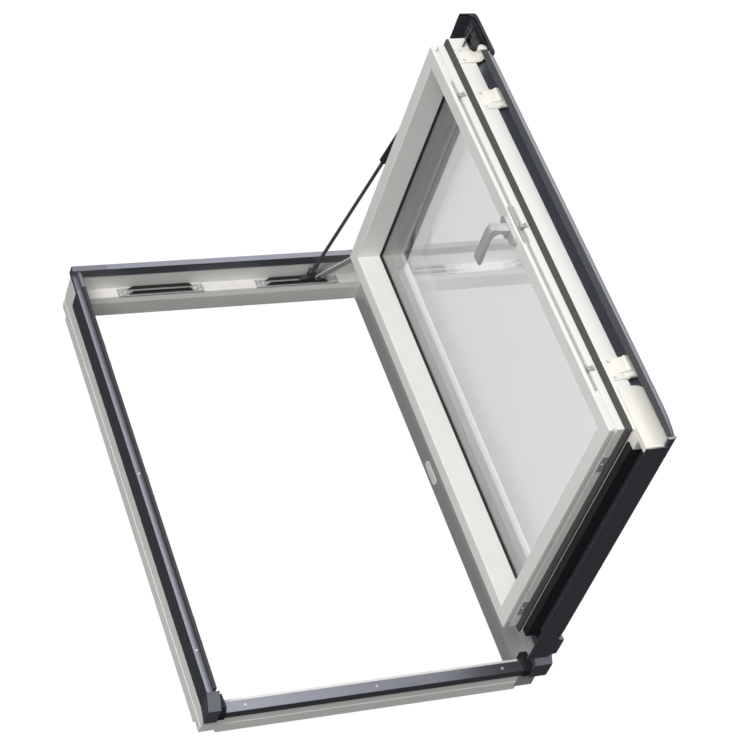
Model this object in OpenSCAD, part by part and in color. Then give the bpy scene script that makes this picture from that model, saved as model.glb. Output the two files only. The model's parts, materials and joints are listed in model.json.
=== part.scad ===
// Side-hung roof skylight: a boxed outer frame with folded metal cladding, and a glazed sash that swings
// on two side hinges, held by a gas strut and a link on a slide rail.
// Members are drawn in corner coordinates: x across the width, y up the slope, z out of the roof from the
// frame's back plane. The sash is drawn shut and then turned open about its hinge line.

/* [Frame] */
// Outer width of the frame
frame_w = 655; // [540:5:800]
// Outer length of the frame, up the slope
frame_l = 980; // [800:5:1200]
// Height of the side walls above the back plane
frame_h = 97; // [90:1:97]
// Height of the ledge that runs round the opening
ledge_h = 50; // [44:1:50]
// Width of a side member at its foot
side_base = 37.5; // [34:0.5:37.5]
// Width of a head or sill member at its foot
end_base = 31; // [26:0.5:36]
// Thickness of a side wall above the ledge
side_wall = 13; // [8:0.5:16]
// Thickness of the head wall above the ledge
head_wall = 5; // [4:0.5:8]
// Height of the head wall
head_h = 105; // [95:1:106]
// Width of the chamfer on the ledge's inner edge
ledge_cham = 3; // [1:0.5:5]
// Height of the chamfer on the ledge's inner edge
ledge_cham_h = 14; // [6:1:20]
// Depth of the lining lip below the back plane
lip_h = 9; // [5:0.5:15]
// Thickness of the lining lip
lip_t = 12; // [8:1:20]
// Distance from a corner to the end of the lining lip
lip_set = 27; // [10:1:60]

/* [Frame cladding] */
// Thickness of the folded cladding and of the sash covers
sheet_t = 1.6; // [1:0.1:2]
// Lower edge of the side skirts
skirt_z = 52; // [30:1:70]
// Height of the ridge on the lock side
ridge_z = 109; // [104:0.5:109.5]
// Height of the ridge on the hinge side
hinge_ridge_z = 107; // [102:0.5:107.5]
// Width of the flat shelf outside the ridge
shelf_w = 8.5; // [4:0.5:9]
// Extra width of the cladding outside the hinge wall
hinge_box_w = 12; // [6:1:16]
// Top of the head cladding
head_top = 110; // [108:0.5:110.5]
// Overhang of the head cladding past the frame
head_over = 6; // [2:0.5:6]
// Lower edge of the head cladding's inner flange
head_flange_z = 89; // [80:1:95]
// Top of the sill cladding
sill_top = 57; // [54:0.5:60]
// Depth of the sill cladding, from the frame's outer face
sill_w = 19.5; // [14:0.5:22]
// Lower edge of the sill skirt
sill_skirt_z = 39; // [25:1:45]
// Length of a lower corner cap along the sill
cap_w = 22; // [16:1:30]
// Length of a head corner cover along the head
corner_w = 68; // [50:1:90]
// Length of a head corner cover down the side
corner_l = 45; // [30:1:70]

/* [Sash] */
// Gap from the frame's outer face to the sash's edge, at the sides
sash_side = 38.5; // [38.5:0.5:42]
// Gap from the frame's outer face to the sash's edge, at head and sill
sash_end = 42; // [42:0.5:48]
// Height of the sash's room face above the back plane, when shut
room_z = 35; // [35:0.5:36]
// Width of the room face
strip_w = 28.5; // [24:0.5:34]
// Height of the glass's inner surface
glass_z = 86; // [82:0.5:86]
// Top of the sash profile
sash_top = 105; // [103:0.5:106]
// Bottom of the proud outer part of the sash profile
proud_z = 72; // [70:0.5:74]
// How far the outer part stands proud of the sash's edge
proud = 9; // [6:0.5:9]
// Width of the wall outside the glass
rebate_w = 12; // [8:0.5:14]
// Lower edge of the lock groove
groove_z = 42; // [40:0.5:42]
// Height of the lock groove
groove_h = 8; // [7:0.5:8]
// Depth of the lock groove
groove_d = 7; // [6:0.5:9]

/* [Glazing] */
// Thickness of each pane
pane_t = 4; // [3:0.5:6]
// Width of the cavity between the panes
cavity = 18; // [12:1:18]
// Thickness of the glazing gaskets
bead_t = 3; // [2:0.5:4]
// Clearance round the glass unit
glass_gap = 1; // [0.5:0.5:3]
// Height of the weather gasket
seal_h = 8.5; // [6:0.5:9]
// Reach of the weather gasket
seal_w = 8.5; // [5:0.5:8.5]

/* [Sash covers] */
// Gap from the frame's outer face to a side cover's wall
cover_edge = 5; // [4.5:0.5:6]
// Width of a side cover
cover_w = 57; // [45:1:70]
// Top of the covers
cover_top = 135; // [130:1:140]
// Lower edge of the lock side's cover wall
cover_lip = 109.5; // [109.5:0.5:112]
// Lower edge of the hinge side's cover wall
hinge_lip = 112; // [112:0.5:114]
// Height at which the cover's bevel starts
bevel_z = 121.5; // [118:0.5:126]
// Width of the cover's bevel
bevel_w = 6; // [2:0.5:10]
// Slope of the cover's inner edge
inner_slope = 8; // [4:1:12]
// Height of the hood's top above the covers
hood_rise = 1.8; // [1.8:0.1:4]
// Lower edge of the hood's back wall
hood_z = 103; // [96:1:106]
// Clearance between the hood's back wall and the head cladding
hood_gap = 1.5; // [1:0.5:4]
// Width of the hood over the glass side, from the sash's edge inwards
hood_in = 54; // [40:1:70]
// Reach of the sill cover's flange past the frame
flange_out = 12; // [11:0.5:16]
// Lower edge of the sill cover's flange
flange_z = 76; // [70:1:84]
// Top of the sill cover's flange
flange_top = 119; // [110:1:125]

/* [Hinges] */
// Distance of the hinge line from the frame's outer face
hinge_in = 10.7; // [10.7:0.1:11.5]
// Height of the hinge line
hinge_z = 118.9; // [118.9:0.1:120]
// Angle of the open sash
open_angle = 89.4; // [60:0.1:89.4]
// Outer radius of a knuckle
knuckle_r = 4.5; // [4:0.1:4.5]
// Radius of a hinge pin
hinge_pin_r = 2.5; // [2:0.1:3]
// Radial clearance of every running fit
run_gap = 0.05; // [0.02:0.01:0.1]
// Length of a hinge
hinge_len = 60; // [50:1:80]
// Thickness of a hinge leaf
leaf_t = 2.7; // [2:0.1:2.7]
// Distance from each end of the frame to the nearer hinge's middle
hinge_from_end = 165; // [120:5:240]

/* [Lock] */
// Distance from the middle of the frame to an outer striker
striker_pitch = 320; // [240:5:360]
// Length of a striker plate
striker_len = 66; // [60:1:80]
// Travel of the lock bar
lock_travel = 14; // [12:0.5:14]
// Length of a lock cam
cam_len = 8; // [6:0.5:8]

/* [Handle] */
// Length of the handle's base plate
base_len = 62; // [54:1:70]
// Width of the handle's base plate
base_w = 20; // [18:0.5:21]
// Thickness of the handle's base plate
base_t = 8; // [5:0.5:10]
// Radius of the handle's spindle
spindle_r = 4; // [3:0.5:5]
// Reach of the lever from the spindle
lever_reach = 78; // [60:1:110]
// Distance of the lever from the room face
lever_out = 45; // [38:1:50]
// Width of the lever
lever_w = 17; // [12:1:20]
// Thickness of the lever
lever_t = 8; // [6:0.5:10]

/* [Stay] */
// Length of a stay rail's plate
rail_len = 178; // [150:1:190]
// Flat end of a stay rail, past its channel
rail_end = 21; // [18:1:26]
// Width of the rail's plate
rail_w = 20; // [16:1:20]
// Height of the channel's walls
channel_h = 9; // [6:0.5:10]
// Distance of the hinge-side rail's middle from the frame's outer face
rail_in = 177; // [170:1:185]
// Distance of the lock-side rail's middle from the frame's outer face
spare_rail_in = 187; // [150:1:220]
// Distance of the open slider's pin from the frame's outer face
pin_in = 150; // [145:1:152]
// Height of the slider's pin
pin_z = 76; // [75:1:80]
// Radius of the slider's pin
stay_pin_r = 3; // [2.5:0.5:3.5]
// Length of the link, between its pivots
link_len = 128; // [122:1:130]
// Rise of the link when the sash is open, in degrees
link_rise = 40.5; // [38:0.5:42]
// Distance of the strut's upper pivot from the lock side's outer face, when shut
strut_in = 110; // [100:1:115]
// Height of the strut's upper pivot, when shut
strut_z = 97; // [94:0.5:97]
// Visible length of the rod when the sash is open
rod_show = 326; // [315:1:330]
// Radius of the rod
rod_r = 3.5; // [3:0.5:4]
// Radius of the cylinder
cylinder_r = 8; // [6:0.5:8]

/* [Hidden] */
$fn = 48;
// A cut reaches this far past the face that it goes through
cut = 1;
// Longer than any member, for cuts and mitres
big = 2000;

hinge_x = frame_w - hinge_in;
sash_x0 = sash_side;
sash_x1 = frame_w - sash_side;
sash_y0 = sash_end;
sash_y1 = frame_l - sash_end;
head_in = frame_l - head_wall;
shelf_z = frame_h + sheet_t;
cladding_y0 = 20;
cladding_y1 = frame_l - corner_l;
hood_y1 = frame_l + head_over + hood_gap + sheet_t;
hood_y0 = sash_y1 - hood_in;
cover_y0 = -5;
cover_y1 = hood_y0 + 6;

function swing_point(p, a) = [
  hinge_x + (p[0] - hinge_x) * cos(a) + (p[1] - hinge_z) * sin(a),
  hinge_z - (p[0] - hinge_x) * sin(a) + (p[1] - hinge_z) * cos(a)
];

module frame_place() {
  translate([-frame_w / 2, -frame_l / 2, lip_h]) children();
}

module sash_place() {
  frame_place() translate([hinge_x, 0, hinge_z]) rotate([0, open_angle, 0]) translate([-hinge_x, 0, -hinge_z])
    children();
}

// Extrudes a (y, z) outline along x
module along_x(x0, x1) {
  translate([x0, 0, 0]) rotate([90, 0, 90]) linear_extrude(x1 - x0) children();
}

// Extrudes an (x, z) outline along y
module along_y(y0, y1) {
  translate([0, y1, 0]) rotate([90, 0, 0]) linear_extrude(y1 - y0) children();
}

// Mirrors a lock-side piece to the hinge side
module flip_x() {
  translate([frame_w, 0, 0]) mirror([1, 0, 0]) children();
}

module box(lo, hi) {
  translate(lo) cube([hi[0] - lo[0], hi[1] - lo[1], hi[2] - lo[2]]);
}

// ---------- outer frame ----------

panel_step = 0.8;
panel_z0 = 17;
panel_z1 = 33;

// Outline of a member with its outer face at 0, shared by all four
function outer_steps(top) = [
  [0, top], [0, panel_z1 + panel_step], [panel_step, panel_z1],
  [panel_step, panel_z0], [0, panel_z0 - panel_step], [0, 0]
];

function member_outline(base, wall, top) = concat(
  outer_steps(top),
  [
    [base, 0], [base, ledge_h - ledge_cham_h], [base - ledge_cham, ledge_h],
    [wall, ledge_h], [wall, top]
  ]
);

function sill_outline() = concat(
  outer_steps(ledge_h),
  [[end_base, 0], [end_base, ledge_h - ledge_cham_h], [end_base - ledge_cham, ledge_h]]
);

cap_front = 8;
cap_skirt_z = 40;
cap_front_z = 78;
cap_t = 2;

// Height of a lower corner cap's top face at a distance up from the sill
function cap_slope(y) = cap_front_z + (shelf_z - cap_front_z) * (y + cap_front) / (cladding_y0 + cap_front);

module side_bar() {
  along_y(0, frame_l) polygon(member_outline(side_base, side_wall, frame_h));
}

// The wall dips under the cap at the sill end
module side_member() {
  difference() {
    side_bar();
    along_x(-cut, side_base) polygon([
      [-cut, cap_slope(-cut) - cap_t], [cladding_y0, cap_slope(cladding_y0) - cap_t],
      [cladding_y0, big], [-cut, big]
    ]);
  }
}

module side_lip() {
  box([0, lip_set, -lip_h], [lip_t, frame_l - lip_set, 0]);
}

module frame_lock_side() {
  color("#e6e3df") frame_place() union() {
    side_member();
    side_lip();
  }
}

module frame_hinge_side() {
  color("#e6e3df") frame_place() flip_x() union() {
    side_member();
    side_lip();
  }
}

// A head or sill member, let in between the two side members
module end_member(outline) {
  difference() {
    along_x(0, frame_w) polygon(outline);
    side_bar();
    flip_x() side_bar();
    box([-cut, -cut, -cut], [panel_step, end_base + cut, big]);
    box([frame_w - panel_step, -cut, -cut], [frame_w + cut, end_base + cut, big]);
  }
}

module end_lip() {
  box([lip_set + 6, 0, -lip_h], [frame_w - lip_set - 6, lip_t, 0]);
}

module frame_sill() {
  color("#e6e3df") frame_place() union() {
    end_member(sill_outline());
    end_lip();
  }
}

module frame_head() {
  color("#e6e3df") frame_place() translate([0, frame_l, 0]) mirror([0, 1, 0]) union() {
    end_member(member_outline(end_base, head_wall, head_h));
    end_lip();
  }
}

// ---------- frame cladding ----------

ridge_slope = 0.8;

// Folded section: skirt, shelf, ridge and inner flange; out is how far the skirt stands outside the wall
function side_fold(out, ridge) = [
  [-out - sheet_t, skirt_z], [-out - sheet_t, shelf_z], [shelf_w, shelf_z], [shelf_w + ridge_slope, ridge],
  [side_wall + sheet_t, ridge], [side_wall + sheet_t, frame_h - 6], [side_wall, frame_h - 6],
  [side_wall, ridge - sheet_t], [shelf_w + ridge_slope + sheet_t, ridge - sheet_t],
  [shelf_w + sheet_t, shelf_z - sheet_t], [-out, shelf_z - sheet_t], [-out, skirt_z]
];

module cladding_lock_side() {
  color("#34363b") frame_place() along_y(cladding_y0, cladding_y1) polygon(side_fold(0, ridge_z));
}

// The ridge is cut away where the hinge leaves rise through it
module cladding_hinge_side() {
  color("#34363b") frame_place() difference() {
    flip_x() along_y(cladding_y0, cladding_y1) polygon(side_fold(hinge_box_w, hinge_ridge_z));
    for (y = hinge_middles())
      box([frame_w - side_wall - sheet_t - cut, y - hinge_len / 2 - cut, frame_h - 10],
          [frame_w - shelf_w + cut, y + hinge_len / 2 + cut, hinge_ridge_z + cut]);
  }
}

module cladding_head() {
  color("#34363b") frame_place() flip_y() along_x(corner_w, frame_w - corner_w)
    polygon([
      [-head_over, frame_h], [-head_over, head_top], [head_wall + sheet_t, head_top],
      [head_wall + sheet_t, head_flange_z], [head_wall, head_flange_z], [head_wall, head_top - sheet_t],
      [-head_over + sheet_t, head_top - sheet_t], [-head_over + sheet_t, frame_h]
    ]);
}

block_lap = 6;
sill_end = cap_w + block_lap + 0.3;

module cladding_sill() {
  color("#34363b") frame_place() along_x(sill_end, frame_w - sill_end) polygon([
    [-sheet_t, sill_skirt_z], [-sheet_t, sill_top], [sill_w, sill_top], [sill_w, ledge_h],
    [sill_w - sheet_t, ledge_h], [sill_w - sheet_t, sill_top - sheet_t], [0, sill_top - sheet_t],
    [0, sill_skirt_z]
  ]);
}

corner_skirt_z = 90;

// Moulded cover over a head corner: one arm along the head, one down the side
module corner_cover() {
  difference() {
    union() {
      box([-sheet_t, cladding_y1, corner_skirt_z], [side_wall + sheet_t, frame_l + head_over, shelf_z]);
      box([shelf_w, cladding_y1, shelf_z], [side_wall + sheet_t, frame_l + head_over, hinge_ridge_z]);
      box([-sheet_t, head_in - sheet_t, corner_skirt_z], [corner_w, frame_l + head_over, head_top]);
    }
    box([0, 0, 0], [side_wall, frame_l, frame_h]);
    box([0, head_in, 0], [big, frame_l, head_h]);
  }
}

module corner_cover_lock() {
  color("#2c2e33") frame_place() corner_cover();
}

module corner_cover_hinge() {
  color("#2c2e33") frame_place() flip_x() corner_cover();
}

// Moulded cap on a lower corner, sloping down from the side shelf; out is the cladding's extra width
module corner_cap(out) {
  difference() {
    along_x(-out - sheet_t, cap_w) polygon([
      [-cap_front, cap_skirt_z], [-cap_front, cap_front_z], [cladding_y0, shelf_z],
      [cladding_y0, cap_skirt_z + 12]
    ]);
    side_member();
    box([0, 0, 0], [big, big, ledge_h]);
    if (out > 0)
      box([-out, 0, 0], [0, big, shelf_z - 10 * sheet_t]);
  }
}

module corner_cap_lock() {
  color("#2c2e33") frame_place() corner_cap(0);
}

module corner_cap_hinge() {
  color("#2c2e33") frame_place() flip_x() corner_cap(hinge_box_w);
}

block_w = 14;
block_top = 72;

// Black block that closes the sill cladding's end against the side member
module corner_block() {
  difference() {
    along_x(cap_w, cap_w + block_w) polygon([
      [-cap_front + 2, ledge_h - 8], [-cap_front + 2, sill_top + 3], [2, block_top],
      [end_base, block_top - 4], [end_base, ledge_h - 8]
    ]);
    box([0, 0, 0], [big, big, ledge_h]);
    box([cap_w + block_lap, -sheet_t, 0], [big, sill_w, sill_top]);
  }
}

module corner_blocks() {
  color("#1d1e20") frame_place() {
    corner_block();
    flip_x() corner_block();
  }
}

screw_r = 3;
screw_head_t = 1.6;

module screw_head() {
  cylinder(h = screw_head_t, r1 = screw_r, r2 = screw_r * 0.7);
}

module cladding_screws() {
  color("#b8bac0") frame_place() {
    for (k = [-1, 0, 1])
      translate([frame_w / 2 + k * (frame_w / 2 - 76), sill_w / 2 - 1, sill_top]) screw_head();
    for (y = [105, frame_l / 2])
      translate([shelf_w / 2, y, shelf_z]) screw_head();
    for (y = [105, frame_l / 2])
      translate([frame_w - shelf_w / 2 + hinge_box_w / 2, y, shelf_z]) screw_head();
  }
}

// ---------- stay rails ----------

rail_y = frame_l - head_wall - rail_w / 2 - 4;
rail_plate_t = 2;
channel_len = rail_len - 2 * rail_end;
channel_gap = 11;
channel_t = 1.5;
floor_z = ledge_h + rail_plate_t;

// Plate with a raised channel whose ends slope down to it, centred on x
module rail() {
  box([-rail_len / 2, rail_y - rail_w / 2, ledge_h], [rail_len / 2, rail_y + rail_w / 2, floor_z]);
  for (s = [-1, 1])
    translate([0, rail_y + s * (channel_gap + channel_t) / 2, 0]) along_y(-channel_t / 2, channel_t / 2)
      polygon([
        [-channel_len / 2, floor_z], [-channel_len / 2 + channel_h, floor_z + channel_h],
        [channel_len / 2 - channel_h, floor_z + channel_h], [channel_len / 2, floor_z]
      ]);
}

module stay_rail() {
  color("#b9b9b7") frame_place() translate([frame_w - rail_in, 0, 0]) rail();
}

module stay_rail_spare() {
  color("#b9b9b7") frame_place() translate([spare_rail_in, 0, 0]) rail();
}

// Three rivet heads in a triangle at each end of a rail
module rail_screws() {
  color("#d6d6d4") frame_place()
    for (x = [frame_w - rail_in, spare_rail_in])
      for (s = [-1, 1])
        for (p = [[7, -5], [7, 5], [16, 0]])
          translate([x + s * (rail_len / 2 - p[0]), rail_y + p[1], floor_z]) screw_head();
}

// ---------- strikers and small frame fittings ----------

striker_x0 = 17;
striker_x1 = side_base - ledge_cham - 0.5;
striker_t = 2.5;
nub_x0 = 27.5;
nub_x1 = 35.2;
nub_top = 60;
finger_z = 57.5;
nub_y = 26;
nub_half = 3;
finger_y = 10;

function striker_middles() = [for (k = [-1, 0, 1]) frame_l / 2 + k * striker_pitch];

// Plate on the ledge with two nubs, one with a finger that a lock cam slides under
module striker(y) {
  translate([0, y, 0]) union() {
    box([striker_x0, -striker_len / 2, ledge_h], [striker_x1, striker_len / 2, ledge_h + striker_t]);
    for (s = [-1, 1])
      box([nub_x0, s * nub_y - nub_half, ledge_h + 0.3], [nub_x1, s * nub_y + nub_half, nub_top]);
    box([nub_x0, finger_y, finger_z], [nub_x1, nub_y, nub_top]);
  }
}

module strikers() {
  color("#c9c9c6") frame_place()
    for (y = striker_middles()) striker(y);
}

module striker_screws() {
  color("#d6d6d4") frame_place()
    for (y = striker_middles())
      for (s = [-1, 1])
        translate([(striker_x0 + nub_x0) / 2 - 1, y + s * 14, ledge_h + striker_t]) screw_head();
}

plug_len = 54;
plug_w = 17;
plug_t = 1.5;
plug_z = 19;

// Oval cover plate on the hinge member's inner face
module oval_plug() {
  color("#e2e0dc") frame_place() translate([frame_w - side_base, frame_l / 2 - 9, plug_z])
    rotate([0, -90, 0]) linear_extrude(plug_t) union() {
      square([plug_w, plug_len - plug_w], center = true);
      for (s = [-1, 1])
        translate([0, s * (plug_len - plug_w) / 2]) circle(d = plug_w);
    }
}

clip_y0 = 50;
clip_len = 60;

// Thin clip on the hinge side's ledge, with a small lug at its lower end
module ledge_clip() {
  color("#f2f1ee") frame_place() union() {
    box([frame_w - side_base + ledge_cham + 0.5, frame_l / 2 + clip_y0, ledge_h],
        [frame_w - side_base + ledge_cham + 3.5, frame_l / 2 + clip_y0 + clip_len, ledge_h + 3]);
    box([frame_w - side_base + ledge_cham + 0.5, frame_l / 2 + clip_y0 - 6, ledge_h],
        [frame_w - side_base + ledge_cham + 7, frame_l / 2 + clip_y0 + 4, ledge_h + 6]);
  }
}

// ---------- hinges ----------

arm_len = hinge_len * 0.27;
leaf_z0 = 58;

function hinge_middles() = [hinge_from_end, frame_l - hinge_from_end];

module knuckle(y0, y1, bore) {
  translate([hinge_x, y1, hinge_z]) rotate([90, 0, 0]) difference() {
    cylinder(h = y1 - y0, r = knuckle_r);
    translate([0, 0, -cut]) cylinder(h = y1 - y0 + 2 * cut, r = bore);
  }
}

// Leaf on the hinge wall's inner face, with two arms up to its knuckles
module frame_leaf(y) {
  leaf_x1 = frame_w - side_wall;
  translate([0, y, 0]) union() {
    box([leaf_x1 - leaf_t, -hinge_len / 2, leaf_z0], [leaf_x1, hinge_len / 2, shelf_z]);
    for (s = [-1, 1]) {
      a = s > 0 ? hinge_len / 2 - arm_len : -hinge_len / 2;
      difference() {
        box([leaf_x1 - leaf_t, a, shelf_z - cut], [leaf_x1, a + arm_len, hinge_z]);
        translate([hinge_x, a - cut, hinge_z]) rotate([-90, 0, 0])
          cylinder(h = arm_len + 2 * cut, r = knuckle_r - 1);
      }
      knuckle(a, a + arm_len, hinge_pin_r);
    }
  }
}

module frame_hinge_lower() {
  color("#8e8f92") frame_place() frame_leaf(hinge_middles()[0]);
}

module frame_hinge_upper() {
  color("#8e8f92") frame_place() frame_leaf(hinge_middles()[1]);
}

module hinge_pins() {
  color("#c4c4c4") frame_place()
    for (y = hinge_middles())
      translate([hinge_x, y + hinge_len / 2 + 1, hinge_z]) rotate([90, 0, 0])
        cylinder(h = hinge_len + 2, r = hinge_pin_r);
}

sash_arm = hinge_len - 2 * arm_len - 1;
sash_leaf_z0 = 77;

// Leaf on the sash's proud edge, with one arm across to the middle knuckle
module sash_leaf(y) {
  leaf_x0 = sash_x1 + proud;
  arm_z = hinge_z - knuckle_r;
  translate([0, y, 0]) union() {
    box([leaf_x0, -hinge_len / 2, sash_leaf_z0], [leaf_x0 + leaf_t, hinge_len / 2, sash_top - 1]);
    box([leaf_x0, -sash_arm / 2, sash_top - 2], [leaf_x0 + leaf_t, sash_arm / 2, arm_z + leaf_t]);
    difference() {
      box([leaf_x0, -sash_arm / 2, arm_z], [hinge_x, sash_arm / 2, arm_z + leaf_t]);
      translate([hinge_x, -big / 2, hinge_z]) rotate([-90, 0, 0]) cylinder(h = big, r = knuckle_r - 1);
    }
    knuckle(-sash_arm / 2, sash_arm / 2, hinge_pin_r + run_gap);
  }
}

module sash_hinge_lower() {
  color("#8e8f92") sash_place() sash_leaf(hinge_middles()[0]);
}

module sash_hinge_upper() {
  color("#8e8f92") sash_place() sash_leaf(hinge_middles()[1]);
}

// ---------- sash ----------

edge_cham = 1.2;
reveal_z = glass_z - bead_t;

// Section of a sash member, measured inwards from the sash's edge
function sash_outline() = [
  [edge_cham, room_z], [strip_w - edge_cham, room_z], [strip_w, room_z + edge_cham], [strip_w, reveal_z],
  [rebate_w, reveal_z], [rebate_w, sash_top], [-proud, sash_top], [-proud, proud_z], [0, proud_z],
  [0, groove_z + groove_h], [groove_d, groove_z + groove_h], [groove_d, groove_z], [0, groove_z],
  [0, room_z + edge_cham]
];

mitre = 60;

// Keeps the part of a sill-side extrusion that lies between the two 45 degree mitres
module sill_mitre() {
  intersection() {
    children();
    linear_extrude(big) polygon([
      [sash_x0 - mitre, sash_y0 - mitre], [sash_x1 + mitre, sash_y0 - mitre],
      [sash_x1 - mitre, sash_y0 + mitre], [sash_x0 + mitre, sash_y0 + mitre]
    ]);
  }
}

module side_mitre() {
  intersection() {
    children();
    linear_extrude(big) polygon([
      [sash_x0 - mitre, sash_y0 - mitre], [sash_x0 + mitre, sash_y0 + mitre],
      [sash_x0 + mitre, sash_y1 - mitre], [sash_x0 - mitre, sash_y1 + mitre]
    ]);
  }
}

module sill_run(outline) {
  sill_mitre() along_x(sash_x0 - mitre, sash_x1 + mitre) translate([sash_y0, 0]) polygon(outline);
}

module side_run(outline) {
  side_mitre() along_y(sash_y0 - mitre, sash_y1 + mitre) translate([sash_x0, 0]) polygon(outline);
}

module flip_y() {
  translate([0, frame_l, 0]) mirror([0, 1, 0]) children();
}

// A closed ring round the sash with the given section
module sash_ring(outline) {
  sill_run(outline);
  flip_y() sill_run(outline);
  side_run(outline);
  flip_x() side_run(outline);
}

module sash_sill() {
  color("#eceae7") sash_place() sill_run(sash_outline());
}

module sash_head() {
  color("#eceae7") sash_place() flip_y() sill_run(sash_outline());
}

module sash_hinge_side() {
  color("#eceae7") sash_place() flip_x() side_run(sash_outline());
}

spindle_x = sash_x0 + strip_w / 2;
spindle_y = frame_l / 2 + 5;
box_gap = 0.4;
gearbox_lo = [sash_x0 + groove_d + 0.5, spindle_y - 42, room_z + 4];
gearbox_hi = [sash_x0 + strip_w - 5, spindle_y + 42, room_z + 17];

module sash_lock_side() {
  color("#eceae7") sash_place() difference() {
    side_run(sash_outline());
    box([sash_x0 - cut, gearbox_lo[1] - box_gap, gearbox_lo[2] - box_gap],
        [gearbox_hi[0] + box_gap, gearbox_hi[1] + box_gap, gearbox_hi[2] + box_gap]);
    translate([spindle_x, spindle_y, room_z - cut]) cylinder(h = 6, r = spindle_r + 1);
  }
}

// ---------- glazing ----------

unit_in = rebate_w + glass_gap;
outer_z = glass_z + pane_t + cavity;
unit_top = outer_z + pane_t;

module pane(z) {
  box([sash_x0 + unit_in, sash_y0 + unit_in, z], [sash_x1 - unit_in, sash_y1 - unit_in, z + pane_t]);
}

module inner_pane() {
  color("#dfe3e2", 0.4) sash_place() pane(glass_z);
}

module outer_pane() {
  color("#dfe3e2", 0.4) sash_place() pane(outer_z);
}

spacer_in = unit_in + 3;
spacer_w = 9;

module rect_ring(d0, d1, z0, z1) {
  sash_ring([[d0, z0], [d1, z0], [d1, z1], [d0, z1]]);
}

module glass_spacer() {
  color("#6f6f6d") sash_place() rect_ring(spacer_in, spacer_in + spacer_w, glass_z + pane_t, outer_z);
}

module inner_glazing_gasket() {
  color("#232322") sash_place() rect_ring(unit_in, strip_w + 0.8, reveal_z, glass_z);
}

outer_bead_t = 2;

module outer_glazing_gasket() {
  color("#232322") sash_place() rect_ring(unit_in + 3, cover_in + 1, unit_top, unit_top + outer_bead_t);
}

module weather_gasket() {
  color("#5b5a57") sash_place() sash_ring([
    [0, proud_z - seal_h], [-seal_w * 0.6, proud_z - seal_h + 1.5], [-seal_w, proud_z - seal_h + 4],
    [-seal_w, proud_z], [0, proud_z]
  ]);
}

// ---------- sash covers ----------

cover_x1 = cover_edge + cover_w;
cover_in = cover_x1 - sash_x0;
lip_z = unit_top + outer_bead_t;
web_x = sash_x0 - 2.5;

// Folded section of a side cover: wall, bevel, top, and an inner edge that slopes down to the glass
function cover_fold(lip) = [
  [cover_edge, lip], [cover_edge, bevel_z], [cover_edge + bevel_w, cover_top],
  [cover_x1 - inner_slope, cover_top],
  [cover_x1, lip_z + sheet_t], [cover_x1, lip_z], [cover_x1 - 14, lip_z], [cover_x1 - 14, lip_z + sheet_t],
  [cover_x1 - 1.5 * sheet_t, lip_z + sheet_t], [cover_x1 - inner_slope - 1, cover_top - sheet_t],
  [cover_edge + bevel_w + 1, cover_top - sheet_t], [cover_edge + sheet_t, bevel_z - 0.4],
  [cover_edge + sheet_t, lip]
];

module cover_web() {
  box([web_x, cover_y0, sash_top], [web_x + sheet_t, cover_y1, cover_top - sheet_t]);
  box([web_x, cover_y0, sash_top], [web_x + 12, cover_y1, sash_top + sheet_t]);
}

module side_cover(lip) {
  union() {
    along_y(cover_y0, cover_y1) polygon(cover_fold(lip));
    difference() {
      cover_web();
      box([0, -big, 0], [big, sash_y0 - proud, big]);
    }
  }
}

module side_cover_lock() {
  color("#3a3d44") sash_place() side_cover(cover_lip);
}

// The wall is notched where the frame's hinge arms pass when the sash is open
module side_cover_hinge() {
  color("#3a3d44") sash_place() flip_x() difference() {
    side_cover(hinge_lip);
    for (y = hinge_middles())
      box([cover_edge - cut, y - hinge_len / 2 - 3, hinge_lip - cut],
          [cover_edge + sheet_t + cut, y + hinge_len / 2 + 3, hinge_z + knuckle_r + 1.5]);
  }
}

end_len = 5;

// Cap that closes a side cover's lower end
module cover_end(lip) {
  along_y(cover_y0 - end_len, cover_y0) polygon([
    [cover_edge, lip], [cover_edge, bevel_z], [cover_edge + bevel_w, cover_top],
    [cover_x1 - inner_slope, cover_top], [cover_x1, lip_z]
  ]);
}

module cover_end_lock() {
  color("#2c2e33") sash_place() cover_end(cover_lip);
}

module cover_end_hinge() {
  color("#2c2e33") sash_place() flip_x() cover_end(hinge_lip + 5);
}

hood_top = cover_top + hood_rise;
hood_side = 12;

// Folded hood over the head: back wall, rounded shoulder, and a top that laps over the side covers
module hood() {
  y1 = hood_y1;
  t = sheet_t;
  color("#2c2e33") sash_place() union() {
    along_x(hood_side, frame_w - hood_side) polygon([
      [y1, hood_z], [y1, hood_top - 5], [y1 - 3.5, hood_top - 1.2], [y1 - 12, hood_top],
      [hood_y0, hood_top], [hood_y0, hood_top - t], [y1 - 12, hood_top - t],
      [y1 - 4.5, hood_top - t - 1], [y1 - t, hood_top - 6], [y1 - t, hood_z]
    ]);
    along_x(cover_x1 + 0.5, frame_w - cover_x1 - 0.5) polygon([
      [hood_y0, hood_top], [hood_y0 - inner_slope, lip_z], [hood_y0 - inner_slope + 2, lip_z],
      [hood_y0 + 6, lip_z], [hood_y0 + 6, lip_z + t], [hood_y0 - inner_slope + 3, lip_z + t],
      [hood_y0 + 1.5, hood_top - t]
    ]);
  }
}

sill_cover_y1 = sash_y0 + cover_in;
flange_in = 25;

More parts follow.
